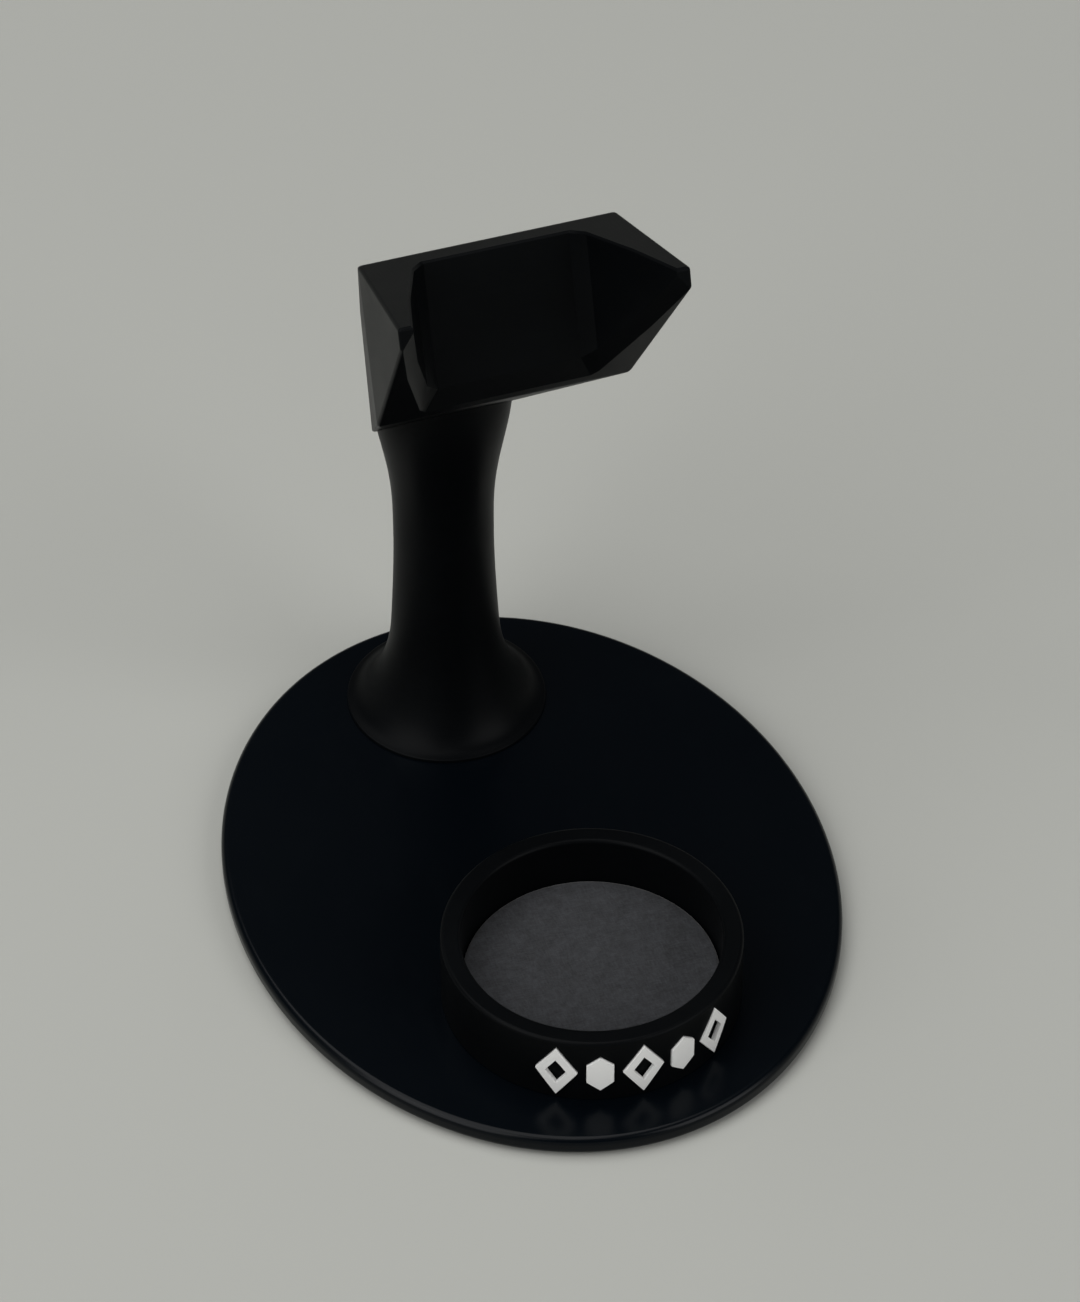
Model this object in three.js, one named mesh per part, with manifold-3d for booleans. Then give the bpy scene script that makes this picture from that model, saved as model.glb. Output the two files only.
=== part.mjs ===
// Racket display stand: an oval base plate carries a round cup for the end of the handle at its front
// and a flared post with a faceted, open cradle for the handle at its back.
// Millimetres, +Z up, front towards -Y. The origin is under the middle of the base, on the table.
import * as THREE from "three";
import { ConvexGeometry } from "three/addons/geometries/ConvexGeometry.js";
import { mergeVertices } from "three/addons/utils/BufferGeometryUtils.js";
import Module from "manifold-3d";

const wasm = await Module();
wasm.setup();

// Sizes shared by every piece
const seatGap = 0.3; // left between a piece and the pocket, bore or mitre that holds it
const overrun = 3; // how far a cut reaches past the face that it opens
const roundSteps = 64;
const smallSteps = 20;

// Sizes of the base plate
const plateWidth = 137.5;
const plateLength = 174;
const plateThickness = 4.5;
const plateRim = 1.6; // rounding of its upper and lower edge
const rimSteps = 3;
const plateSteps = 88;

// Sizes of the rubber feet
const footRadius = 7;
const footThickness = 2;
const footProud = 0.8; // how far a foot stands out under the plate
const footEdge = 0.3;
const footSideInset = 24; // from the plate's side to the middle of a foot
const footEndInset = 36; // from the plate's end to the middle of a foot

// Sizes of the cup
const cupOuterRadius = 33.5;
const cupWall = 4.6;
const cupHeight = 17.5;
const cupFloor = 4;
const cupEdge = 0.9;
const cupFrontMargin = 11.5; // from the plate's front to the cup
const padThickness = 1.5;
const padEdge = 0.4;

// Sizes of the five marks let into the front of the cup
const markCount = 5;
const markPitch = 16.5; // degrees from one mark to the next
const markDepth = 0.8; // let into the wall
const markProud = 0.35; // standing out of the wall
const markCentreHeight = 8.3;
const lozengeWidth = 9.4;
const lozengeHeight = 14;
const lozengeStroke = 1.9;
const gemWidth = 6;
const gemHeight = 10;
const gemSideShare = 0.5; // how much of a gem's height its straight sides take

// Sizes of the post
const shaftRadius = 11.6;
const postRearMargin = 3.75; // from the post's foot to the plate's rear
const footFlareRadius = 23.5;
const footFlareHeight = 23;
const footLip = 0.8; // upright edge of the post's foot
const waistHeight = 50; // from here down the post slowly widens to its foot
const waistShare = 0.24; // how much of the way to the foot's radius that widening goes
const waistBend = 1.5; // 1 widens evenly, more widens faster near the foot
const capRadius = 16.2;
const capFlareUnder = 20; // from the start of the cap's flare up to the cradle's heel
const capFlareOver = 22; // from the heel up to the flare's end
const capBend = 1.6; // 1 widens evenly to both sides, more widens later
const footFlareSteps = 10;
const waistSteps = 5;
const capFlareSteps = 12;
const spigotRadius = 7;
const spigotHeight = 30; // above the heel
const spigotEdge = 1;

// Sizes of the cradle
const heelHeight = 74; // from the plate up to the lowest edge of the cradle, at its rear
const heelWidth = 25;
const heelMargin = 0.1; // how far the heel stands behind the post
const shoulderRise = 36; // from the heel to the upper edge of its rear face
const shoulderWidth = 29;
const cradleTilt = 17; // degrees that it leans back, square to the handle
const cradleReach = 34; // from the post's axis forward to its top rear edge
const cradleRise = 86.3; // from the heel up to that edge
const cradleWidth = 57.4; // at that edge, and at the jaw below it
const jawDepth = 36.9; // from that edge down to the jaw's lower edge
const armLength = 38.4;
const armSpread = 63; // across the outsides of the two tips
const armTipHeight = 4.8;
const seatWall = 5.5; // behind the handle, at the top rear edge
const slotBackWidth = 32;
const slotCorner = 3; // cut across each rear corner of the slot
const slotMiddleWidth = 48.4;
const slotMiddleDepth = 17.5; // from the seat forward
const slotMouthWidth = 56.8;
const slotBevelWidth = 2.6;
const slotBevelDepth = 3.4;

// Sizes of the screws and threaded inserts: metric four for the post and the cradle, three for the cup
const largeScrew = { shankRadius: 1.85, headRadius: 3.8, socketRadius: 1.45, socketDepth: 1.3 };
const largeInsert = { boreRadius: 2.15, outerRadius: 2.8 };
const smallScrew = { shankRadius: 1.35, headRadius: 2.9, socketRadius: 1.15, socketDepth: 1 };
const smallInsert = { boreRadius: 1.65, outerRadius: 2.3 };
const headSink = 0.2; // how far a screw's head lies under the surface
const socketSides = 6;
const insertEdge = 0.25;
const postInsertLength = 8;
const postScrewReach = 7; // into the post
const postScrewCircle = 7.6;
const cupInsertLength = 2.9;
const cupScrewReach = 2.6; // into the cup's floor
const cupScrewCircle = 20;
const cradleInsertLength = 6;
const cradleScrewReach = 7.5; // into the spigot
const cradleScrewRise = 19; // above the heel
const screwsInRing = 3;

// Places that follow from the sizes
const plateTop = footProud + plateThickness;
const cupCentreY = -(plateLength / 2 - cupFrontMargin - cupOuterRadius);
const postCentreY = plateLength / 2 - postRearMargin - footFlareRadius;
const heelBack = postRadiusAt(heelHeight) + heelMargin;
const cradleTop = heelHeight + cradleRise;
const spigotTop = heelHeight + spigotHeight;

// Finishes
const finishes = {
  plate: { color: 0x14171b, roughness: 0.32, metalness: 0 },
  print: { color: 0x15181c, roughness: 0.42, metalness: 0 },
  mark: { color: 0xf2f2ef, roughness: 0.5, metalness: 0 },
  felt: { color: 0x24262a, roughness: 0.95, metalness: 0 },
  rubber: { color: 0x1b1b1c, roughness: 0.85, metalness: 0 },
  steel: { color: 0x8c8f93, roughness: 0.35, metalness: 1 },
  brass: { color: 0xb08d4a, roughness: 0.4, metalness: 1 },
};

// Solids from geometry, and meshes from solids

/** Turns a closed geometry into a solid that can be joined and cut. */
function solidOf(geometry) {
  const bare = geometry.clone();
  bare.deleteAttribute("normal");
  bare.deleteAttribute("uv");
  const merged = mergeVertices(bare);
  const corners = merged.index.array;
  const kept = [];
  for (let i = 0; i < corners.length; i += 3) {
    const [a, b, c] = [corners[i], corners[i + 1], corners[i + 2]];
    if (a !== b && b !== c && c !== a) kept.push(a, b, c);
  }
  const vertProperties = new Float32Array(merged.attributes.position.array);
  const triVerts = new Uint32Array(kept);
  return new wasm.Manifold(new wasm.Mesh({ numProp: 3, vertProperties, triVerts }));
}

/** Makes a named mesh with a material of its own from a solid. */
function meshOf(name, solid, finish) {
  const { vertProperties, triVerts } = solid.getMesh();
  const geometry = new THREE.BufferGeometry();
  geometry.setAttribute("position", new THREE.BufferAttribute(new Float32Array(vertProperties), 3));
  geometry.setIndex(new THREE.BufferAttribute(new Uint32Array(triVerts), 1));
  geometry.computeVertexNormals();
  const mesh = new THREE.Mesh(geometry, new THREE.MeshStandardMaterial(finish));
  mesh.name = name;
  return mesh;
}

/** Revolves an outline of [radius, height] points about +Z. */
function revolved(outline, steps) {
  const points = outline.map(([radius, height]) => new THREE.Vector2(radius, height));
  return solidOf(new THREE.LatheGeometry(points, steps).rotateX(Math.PI / 2));
}

/** An upright cylinder from one height to another about the point (x, y). */
function column(radius, low, high, steps, x = 0, y = 0) {
  const geometry = new THREE.CylinderGeometry(radius, radius, high - low, steps);
  return solidOf(geometry.rotateX(Math.PI / 2).translate(x, y, (low + high) / 2));
}

/** A flat outline of [x, y] points drawn up from one height to another. */
function prism(points, low, high) {
  const shape = new THREE.Shape(points.map(([x, y]) => new THREE.Vector2(x, y)));
  const depth = high - low;
  return solidOf(new THREE.ExtrudeGeometry(shape, { depth, bevelEnabled: false }).translate(0, 0, low));
}

/** The convex solid around a list of points. */
function hull(points) {
  return solidOf(new ConvexGeometry(points));
}

/** Places evenly spaced on a circle, the first at the given angle in degrees. */
function ring(count, radius, first) {
  return Array.from({ length: count }, (_, i) => {
    const angle = THREE.MathUtils.degToRad(first) + (2 * Math.PI * i) / count;
    return [radius * Math.cos(angle), radius * Math.sin(angle)];
  });
}

// Fasteners, each modelled upright with its head at height 0 and its tip above

/** A countersunk screw with a hexagon socket; the cone falls from the head to the shank at 45 degrees. */
function countersunkScrew({ shankRadius, headRadius, socketRadius, socketDepth }, length) {
  const coneHeight = headRadius - shankRadius;
  const body = revolved([
    [0, 0],
    [headRadius, 0],
    [shankRadius, coneHeight],
    [shankRadius, length - shankRadius / 2],
    [shankRadius / 2, length],
    [0, length],
  ], smallSteps);
  return body.subtract(column(socketRadius, -overrun, socketDepth, socketSides));
}

/** The hole for such a screw: its cone grown by the gap, and a bore as long as asked for. */
function countersunkHole({ shankRadius, headRadius }, length) {
  const boreRadius = shankRadius + seatGap;
  const mouthRadius = headRadius + seatGap;
  return revolved([
    [0, -overrun],
    [mouthRadius, -overrun],
    [mouthRadius, headSink],
    [boreRadius, headSink + mouthRadius - boreRadius],
    [boreRadius, length],
    [0, length],
  ], smallSteps);
}

/** A threaded insert, from one height to another. */
function threadedInsert({ boreRadius, outerRadius }, low, high) {
  return revolved([
    [boreRadius, low],
    [outerRadius - insertEdge, low],
    [outerRadius, low + insertEdge],
    [outerRadius, high - insertEdge],
    [outerRadius - insertEdge, high],
    [boreRadius, high],
    [boreRadius, low],
  ], smallSteps);
}

/** The pocket for an insert, with room ahead of it for the end of the screw. */
function insertPocket({ outerRadius }, low, high) {
  return column(outerRadius + seatGap, low, high, smallSteps);
}

// Base plate and feet

/** Places of the four feet. */
function footPlaces() {
  const x = plateWidth / 2 - footSideInset;
  const y = plateLength / 2 - footEndInset;
  return [[-x, -y], [x, -y], [x, y], [-x, y]];
}

/** Places of the screws that hold the cup, from below. */
function cupScrewPlaces() {
  return ring(screwsInRing, cupScrewCircle, 90).map(([x, y]) => [x, cupCentreY + y]);
}

/** Places of the screws that hold the post, from below. */
function postScrewPlaces() {
  return ring(screwsInRing, postScrewCircle, 90).map(([x, y]) => [x, postCentreY + y]);
}

/** The oval plate with its rounded edges, screw holes and foot recesses. */
function basePlate() {
  const points = Array.from({ length: plateSteps }, (_, i) => {
    const angle = (2 * Math.PI * i) / plateSteps;
    const x = (plateWidth / 2 - plateRim) * Math.cos(angle);
    const y = (plateLength / 2 - plateRim) * Math.sin(angle);
    return new THREE.Vector2(x, y);
  });
  const oval = new THREE.ExtrudeGeometry(new THREE.Shape(points), {
    depth: plateThickness - 2 * plateRim,
    bevelSize: plateRim,
    bevelThickness: plateRim,
    bevelSegments: rimSteps,
  });
  let plate = solidOf(oval.translate(0, 0, footProud + plateRim));
  const holeLength = plateThickness + overrun;
  for (const [x, y] of cupScrewPlaces()) {
    plate = plate.subtract(countersunkHole(smallScrew, holeLength).translate([x, y, footProud]));
  }
  for (const [x, y] of postScrewPlaces()) {
    plate = plate.subtract(countersunkHole(largeScrew, holeLength).translate([x, y, footProud]));
  }
  const recessTop = footThickness + seatGap;
  for (const [x, y] of footPlaces()) {
    plate = plate.subtract(column(footRadius + seatGap, -overrun, recessTop, smallSteps, x, y));
  }
  return plate;
}

/** One rubber foot, standing on the table. */
function rubberFoot([x, y]) {
  const outline = [
    [0, 0],
    [footRadius - footEdge, 0],
    [footRadius, footEdge],
    [footRadius, footThickness],
    [0, footThickness],
  ];
  return revolved(outline, smallSteps).translate([x, y, 0]);
}

// Cup, its pad and its marks, with the plate's top at height 0 and the cup's axis at the origin

/** Corners of an upright lozenge whose sides are moved out by the given amount. */
function lozenge(width, height, grown) {
  const [a, b] = [width / 2, height / 2];
  const side = Math.hypot(a, b);
  const across = a + (grown * side) / b;
  const up = b + (grown * side) / a;
  return [[across, 0], [0, up], [-across, 0], [0, -up]];
}

/** Corners of an upright six-sided gem whose sides are moved out by the given amount. */
function gem(width, height, grown) {
  const [a, b] = [width / 2, height / 2];
  const shoulder = b * gemSideShare;
  const across = a + grown;
  const up = b + (grown * Math.hypot(a, b - shoulder)) / a;
  const corner = up - (across * (b - shoulder)) / a;
  return [[across, -corner], [across, corner], [0, up], [-across, corner], [-across, -corner], [0, -up]];
}

/** The stem of a mark: its outline drawn forward through the cup's front wall, then turned to its place. */
function markStem(index, grown) {
  const low = cupOuterRadius / 2;
  const high = cupOuterRadius + overrun;
  let stem;
  if (index % 2 === 0) {
    const opening = lozenge(lozengeWidth, lozengeHeight, -grown - lozengeStroke);
    stem = prism(lozenge(lozengeWidth, lozengeHeight, grown), low, high);
    stem = stem.subtract(prism(opening, 0, high + overrun));
  } else {
    stem = prism(gem(gemWidth, gemHeight, grown), low, high);
  }
  const turn = markPitch * (index - (markCount - 1) / 2);
  return stem.rotate([90, 0, 0]).translate([0, 0, markCentreHeight]).rotate([0, 0, turn]);
}

/** A ring of the cup's wall between two radii, as high as the cup. */
function wallRing(inner, outer) {
  const tube = column(outer, -overrun, cupHeight + overrun, roundSteps);
  return tube.subtract(column(inner, -overrun - overrun, cupHeight + overrun + overrun, roundSteps));
}

/** One mark, bent to the cup's wall. */
function mark(index) {
  const band = wallRing(cupOuterRadius - markDepth, cupOuterRadius + markProud);
  return markStem(index, 0).intersect(band);
}

/** The cup: a floor, a round wall with broken edges, the marks' pockets and the inserts' pockets. */
function cup() {
  const inner = cupOuterRadius - cupWall;
  let body = revolved([
    [0, 0],
    [cupOuterRadius, 0],
    [cupOuterRadius, cupHeight - cupEdge],
    [cupOuterRadius - cupEdge, cupHeight],
    [inner + cupEdge, cupHeight],
    [inner, cupHeight - cupEdge],
    [inner, cupFloor],
    [0, cupFloor],
  ], roundSteps);
  const pocketBand = wallRing(cupOuterRadius - markDepth - seatGap, cupOuterRadius + overrun);
  for (let i = 0; i < markCount; i += 1) {
    body = body.subtract(markStem(i, seatGap).intersect(pocketBand));
  }
  for (const [x, y] of ring(screwsInRing, cupScrewCircle, 90)) {
    const pocket = insertPocket(smallInsert, -overrun, cupInsertLength + seatGap);
    body = body.subtract(pocket.translate([x, y, 0]));
  }
  return body;
}

/** The felt disc on the cup's floor. */
function cupPad() {
  const radius = cupOuterRadius - cupWall - seatGap;
  return revolved([
    [0, cupFloor],
    [radius, cupFloor],
    [radius, cupFloor + padThickness - padEdge],
    [radius - padEdge, cupFloor + padThickness],
    [0, cupFloor + padThickness],
  ], roundSteps);
}

// Post, with the plate's top at height 0 and its axis at the origin

/** Radius of the post at a height: a hollow flare at the foot, a slim waist and a wider cap. */
function postRadiusAt(height) {
  const aboveLip = Math.min(Math.max((height - footLip) / footFlareHeight, 0), 1);
  const flareShare = 1 - Math.sqrt(1 - (1 - aboveLip) ** 2);
  const widening = waistShare * Math.max(1 - height / waistHeight, 0) ** waistBend;
  const footShare = flareShare + (1 - flareShare) * widening;
  const capEase = THREE.MathUtils.smoothstep(height, heelHeight - capFlareUnder, heelHeight + capFlareOver);
  const capShare = capEase ** capBend;
  return shaftRadius + (footFlareRadius - shaftRadius) * footShare + (capRadius - shaftRadius) * capShare;
}

/** Outline of the post up to the given height, as [radius, height] points. */
function postOutline(top) {
  const outline = [[0, 0], [footFlareRadius, 0]];
  for (let i = 0; i <= footFlareSteps; i += 1) {
    const height = footLip + footFlareHeight * (1 - Math.cos((Math.PI / 2) * (i / footFlareSteps)));
    outline.push([postRadiusAt(height), height]);
  }
  for (let i = 1; i <= waistSteps; i += 1) {
    const height = THREE.MathUtils.lerp(footLip + footFlareHeight, waistHeight, i / waistSteps);
    outline.push([postRadiusAt(height), height]);
  }
  for (let i = 0; i <= capFlareSteps; i += 1) {
    const height = heelHeight + THREE.MathUtils.lerp(-capFlareUnder, capFlareOver, i / capFlareSteps);
    outline.push([postRadiusAt(height), height]);
  }
  outline.push([capRadius, top], [0, top]);
  return outline;
}

/** The post: cut at its top by the mitre under the cradle, with the spigot above the cut. */
function post() {
  const trimmed = revolved(postOutline(jawHeight()), roundSteps).subtract(aboveMitre(seatGap));
  const spigotFoot = heelHeight - mitreSlope() * heelBack;
  const spigot = revolved([
    [0, spigotFoot],
    [spigotRadius, spigotFoot],
    [spigotRadius, spigotTop - spigotEdge],
    [spigotRadius - spigotEdge, spigotTop],
    [0, spigotTop],
  ], smallSteps);
  let body = trimmed.add(spigot);
  for (const [x, y] of ring(screwsInRing, postScrewCircle, 90)) {
    const pocket = insertPocket(largeInsert, -overrun, postInsertLength + seatGap);
    body = body.subtract(pocket.translate([x, y, 0]));
  }
  const depth = Math.max(cradleInsertLength, cradleScrewReach) + seatGap;
  return body.subtract(fromRear(insertPocket(largeInsert, -overrun - overrun, depth), spigotRadius));
}

/** Lays an upright fastener down so that it points forward from the given distance behind the axis. */
function fromRear(solid, back) {
  return solid.rotate([90, 0, 0]).translate([0, back, heelHeight + cradleScrewRise]);
}

// Cradle, with the plate's top at height 0 and the post's axis at the origin

/** A point of the cradle, given across, forward and up in its own tilted directions. */
function inCradle(across, forward, up) {
  const tilt = THREE.MathUtils.degToRad(cradleTilt);
  const y = -cradleReach - forward * Math.cos(tilt) + up * Math.sin(tilt);
  const z = cradleTop + forward * Math.sin(tilt) + up * Math.cos(tilt);
  return new THREE.Vector3(across, y, z);
}

/** Height of the jaw's lower edge, from which the mitre runs back to the heel. */
function jawHeight() {
  return inCradle(0, 0, -jawDepth).z;
}

/** How much the mitre rises over each millimetre forward. */
function mitreSlope() {
  return (jawHeight() - heelHeight) / (heelBack - inCradle(0, 0, -jawDepth).y);
}

/** All that lies above the mitre between the post and the cradle, lowered by the given amount. */
function aboveMitre(lowered) {
  const slope = mitreSlope();
  const drop = lowered * Math.hypot(slope, 1);
  const points = [];
  for (const x of [-armSpread, armSpread]) {
    for (const y of [-armSpread, armSpread]) {
      const z = heelHeight - drop + slope * (heelBack - y);
      points.push(new THREE.Vector3(x, y, z), new THREE.Vector3(x, y, cradleTop + armSpread));
    }
  }
  return hull(points);
}

/** Half of the slot's width at each point along it, with the distance forward from the top rear edge. */
function slotOutline() {
  const end = armLength + overrun;
  const widening = (slotMouthWidth - slotMiddleWidth) / (armLength - seatWall - slotMiddleDepth);
  return [
    [slotBackWidth / 2, seatWall],
    [slotBackWidth / 2 + slotCorner, seatWall + slotCorner],
    [slotMiddleWidth / 2, seatWall + slotMiddleDepth],
    [(slotMouthWidth + widening * overrun) / 2, end],
  ];
}

/** The open slot for the handle, right through the cradle. */
function handleSlot() {
  const points = [];
  for (const [half, forward] of slotOutline()) {
    for (const up of [overrun, -jawDepth - overrun]) {
      points.push(inCradle(-half, forward, up), inCradle(half, forward, up));
    }
  }
  return hull(points);
}

/** How far up from its top the cradle's front underside lies, at a distance forward. */
function undersideUp(forward) {
  return THREE.MathUtils.mapLinear(forward, 0, armLength, -jawDepth, -armTipHeight);
}

/** The wider mouth that bevels the slot's edges on the cradle's front underside. */
function slotBevel() {
  const grown = slotBevelWidth * (overrun / slotBevelDepth + 1);
  const points = [];
  for (const [half, forward] of slotOutline()) {
    const lowForward = forward - (forward > seatWall ? 0 : grown);
    for (const side of [-1, 1]) {
      points.push(inCradle(side * half, forward, undersideUp(forward) + slotBevelDepth));
      points.push(inCradle(side * (half + grown), lowForward, undersideUp(lowForward) - overrun));
    }
  }
  return hull(points);
}

/** The cradle: a faceted claw whose jaw narrows to a heel on the post's cut top. */
function cradle() {
  const corners = [];
  for (const side of [-1, 1]) {
    corners.push(
      inCradle((side * cradleWidth) / 2, 0, 0),
      inCradle((side * cradleWidth) / 2, 0, -jawDepth),
      inCradle((side * armSpread) / 2, armLength, 0),
      inCradle((side * armSpread) / 2, armLength, -armTipHeight),
      new THREE.Vector3((side * heelWidth) / 2, heelBack, heelHeight),
      new THREE.Vector3((side * shoulderWidth) / 2, heelBack, heelHeight + shoulderRise),
    );
  }
  const claw = hull(corners).subtract(handleSlot()).subtract(slotBevel());
  const socket = column(spigotRadius + seatGap, heelHeight - overrun, spigotTop + seatGap, smallSteps);
  const hole = countersunkHole(largeScrew, heelBack);
  return claw.subtract(socket).subtract(fromRear(hole, heelBack));
}

// Screws and inserts in place

/** One of the screws that hold the cup. */
function cupScrew([x, y]) {
  const length = plateThickness - headSink + cupScrewReach;
  return countersunkScrew(smallScrew, length).translate([x, y, footProud + headSink]);
}

/** One of the inserts in the cup's floor. */
function cupInsert([x, y]) {
  return threadedInsert(smallInsert, 0, cupInsertLength).translate([x, y, plateTop]);
}

/** One of the screws that hold the post. */
function postScrew([x, y]) {
  const length = plateThickness - headSink + postScrewReach;
  return countersunkScrew(largeScrew, length).translate([x, y, footProud + headSink]);
}

/** One of the inserts in the post's foot. */
function postInsert([x, y]) {
  return threadedInsert(largeInsert, 0, postInsertLength).translate([x, y, plateTop]);
}

/** The screw that holds the cradle on the spigot, from behind. */
function cradleScrew() {
  const length = heelBack - headSink - spigotRadius + cradleScrewReach;
  return fromRear(countersunkScrew(largeScrew, length), heelBack - headSink);
}

/** The insert in the spigot. */
function cradleInsert() {
  return fromRear(threadedInsert(largeInsert, 0, cradleInsertLength), spigotRadius - seatGap);
}

// The whole stand
const stand = new THREE.Group();
stand.add(meshOf("base_plate", basePlate(), finishes.plate));
footPlaces().forEach((place, i) => {
  stand.add(meshOf(`rubber_foot_${i + 1}`, rubberFoot(place), finishes.rubber));
});
cupScrewPlaces().forEach((place, i) => {
  stand.add(meshOf(`cup_screw_${i + 1}`, cupScrew(place), finishes.steel));
  stand.add(meshOf(`cup_insert_${i + 1}`, cupInsert(place), finishes.brass));
});
postScrewPlaces().forEach((place, i) => {
  stand.add(meshOf(`post_screw_${i + 1}`, postScrew(place), finishes.steel));
  stand.add(meshOf(`post_insert_${i + 1}`, postInsert(place), finishes.brass));
});

const cupGroup = new THREE.Group();
cupGroup.position.set(0, cupCentreY, plateTop);
cupGroup.add(meshOf("butt_cup", cup(), finishes.print));
cupGroup.add(meshOf("cup_pad", cupPad(), finishes.felt));
for (let i = 0; i < markCount; i += 1) {
  cupGroup.add(meshOf(`cup_mark_${i + 1}`, mark(i), finishes.mark));
}
stand.add(cupGroup);

const postGroup = new THREE.Group();
postGroup.position.set(0, postCentreY, plateTop);
postGroup.add(meshOf("post", post(), finishes.print));
postGroup.add(meshOf("cradle", cradle(), finishes.print));
postGroup.add(meshOf("cradle_screw", cradleScrew(), finishes.steel));
postGroup.add(meshOf("cradle_insert", cradleInsert(), finishes.brass));
stand.add(postGroup);

export default stand;
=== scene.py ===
"""Looks of a racket display stand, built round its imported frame.

The stand is black printed plastic. An oval base plate on four rubber feet carries a round cup, with
white marks in its wall and a felt pad on its floor, and a flared post with a faceted, open cradle.
Metres, +Z up, front towards -Y. Angles are in degrees.
"""

import logging
import math
from abc import ABC, abstractmethod
from contextlib import contextmanager
from dataclasses import dataclass, field
from enum import Enum
from functools import cache
from typing import Any, Callable, Iterator, Sequence

import bmesh
import bpy
from mathutils import Matrix, Vector


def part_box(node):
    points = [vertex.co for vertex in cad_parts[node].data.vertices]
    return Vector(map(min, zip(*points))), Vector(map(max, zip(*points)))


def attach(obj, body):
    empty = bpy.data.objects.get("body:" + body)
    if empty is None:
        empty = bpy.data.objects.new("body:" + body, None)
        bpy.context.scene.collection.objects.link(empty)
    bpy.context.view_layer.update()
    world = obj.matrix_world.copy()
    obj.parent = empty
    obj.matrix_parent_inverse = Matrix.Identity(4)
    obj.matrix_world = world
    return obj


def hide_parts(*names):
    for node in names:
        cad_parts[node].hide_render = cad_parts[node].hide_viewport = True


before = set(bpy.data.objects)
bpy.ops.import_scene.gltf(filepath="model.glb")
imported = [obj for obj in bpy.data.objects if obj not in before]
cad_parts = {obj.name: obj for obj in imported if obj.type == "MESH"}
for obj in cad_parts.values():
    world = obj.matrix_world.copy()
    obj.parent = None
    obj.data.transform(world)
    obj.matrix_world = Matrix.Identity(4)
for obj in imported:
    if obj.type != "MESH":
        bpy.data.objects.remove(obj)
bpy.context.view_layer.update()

BODY = "root"
MM = 0.001
UP = Vector((0, 0, 1))
FRONT = Vector((0, -1, 0))
GAP = 0.3 * MM  # between a piece and the hole or pocket that holds it
OVERRUN = 3 * MM  # how far a tool reaches past what it cuts
SEAM = 0.002 * MM  # corners closer than this are merged
FLUSH = 0.0001 * MM  # corners this close to a trimming plane count as on it
FEET = 4
SCREWS = 3  # under the cup, and as many under the post
INSERT_STEPS = 32  # corners of an insert's pocket
SPIGOT = 7 * MM  # radius of the post's spigot

log = logging.getLogger("racket_stand")

Colour = tuple[float, float, float]
Level = Callable[[float], float]
Outline = list[tuple[float, float]]
Sockets = dict[str | int, Any]


class Slot(Enum):
    """Material slots of the record."""

    PLATE = "plate_black"
    PRINT = "print_black"
    MARK = "mark_white"
    FELT = "felt_grey"
    RUBBER = "foot_rubber"
    STEEL = "screw_steel"
    BRASS = "insert_brass"


class Join(Enum):
    """What becomes of a solid when a second one is joined to it."""

    ADD = "UNION"
    CUT = "DIFFERENCE"
    KEEP = "INTERSECT"


@dataclass(frozen=True)
class Room:
    """The space that a node of the frame takes."""

    low: Vector  # lowest corner
    high: Vector  # highest corner

    @classmethod
    def of(cls, node: str) -> "Room":
        """The space of the node with that name."""
        return cls(*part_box(node))

    @property
    def centre(self) -> Vector:
        """Middle of the space."""
        return (self.low + self.high) / 2

    @property
    def size(self) -> Vector:
        """Width, depth and height of the space."""
        return self.high - self.low

    @property
    def foot(self) -> Vector:
        """Middle of the space's lowest face."""
        return Vector((self.centre.x, self.centre.y, self.low.z))


@dataclass(frozen=True)
class Cut:
    """A plane that a solid is cut along."""

    point: Vector  # a point of the plane
    outward: Vector  # direction in which the solid is taken away

    @classmethod
    def through(cls, inside: Vector, *points: Vector) -> "Cut":
        """The plane through three points that faces away from a fourth.

        Args:
            inside: A point of the solid that is kept.
            points: The plane's three points.

        Returns:
            The plane.
        """
        start, second, third = points
        outward = (second - start).cross(third - start).normalized()
        if outward.dot(inside - start) > 0:
            outward.negate()
        return cls(start, outward)


def numbered(stem: str, count: int) -> list[str]:
    """A name with each number from 1 up."""
    return [f"{stem}_{number}" for number in range(1, count + 1)]


# Modelling

def activate(piece: bpy.types.Object) -> None:
    """Selects one piece and nothing else."""
    bpy.ops.object.select_all(action="DESELECT")
    piece.select_set(True)
    bpy.context.view_layer.objects.active = piece


@contextmanager
def editing(piece: bpy.types.Object) -> Iterator[None]:
    """Holds a piece in edit mode.

    Args:
        piece: The piece to edit.

    Yields:
        Nothing; the operators act on the piece meanwhile.
    """
    activate(piece)
    bpy.ops.object.mode_set(mode="EDIT")
    try:
        yield
    finally:
        bpy.ops.object.mode_set(mode="OBJECT")


def settled(name: str) -> bpy.types.Object:
    """Names the primitive that was just added and puts its place into its mesh.

    Args:
        name: Name of the piece.

    Returns:
        The piece.
    """
    piece = bpy.context.active_object
    piece.name = name
    piece.data.name = name
    bpy.ops.object.transform_apply(location=True, rotation=True, scale=True)
    return piece


def turn_faces(inside: bool = False) -> None:
    """Turns all faces of the piece in edit mode outwards, or inwards."""
    bpy.ops.mesh.select_all(action="SELECT")
    bpy.ops.mesh.normals_make_consistent(inside=inside)


def slice_off(cut: Cut, snap: float) -> None:
    """Cuts away, in edit mode, what lies beyond a plane and closes the cut.

    Args:
        cut: The plane.
        snap: Corners that are this close to the plane count as on it.
    """
    bpy.ops.mesh.select_all(action="SELECT")
    bpy.ops.mesh.bisect(
        plane_co=cut.point, plane_no=cut.outward, use_fill=True, clear_outer=True, threshold=snap
    )


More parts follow.
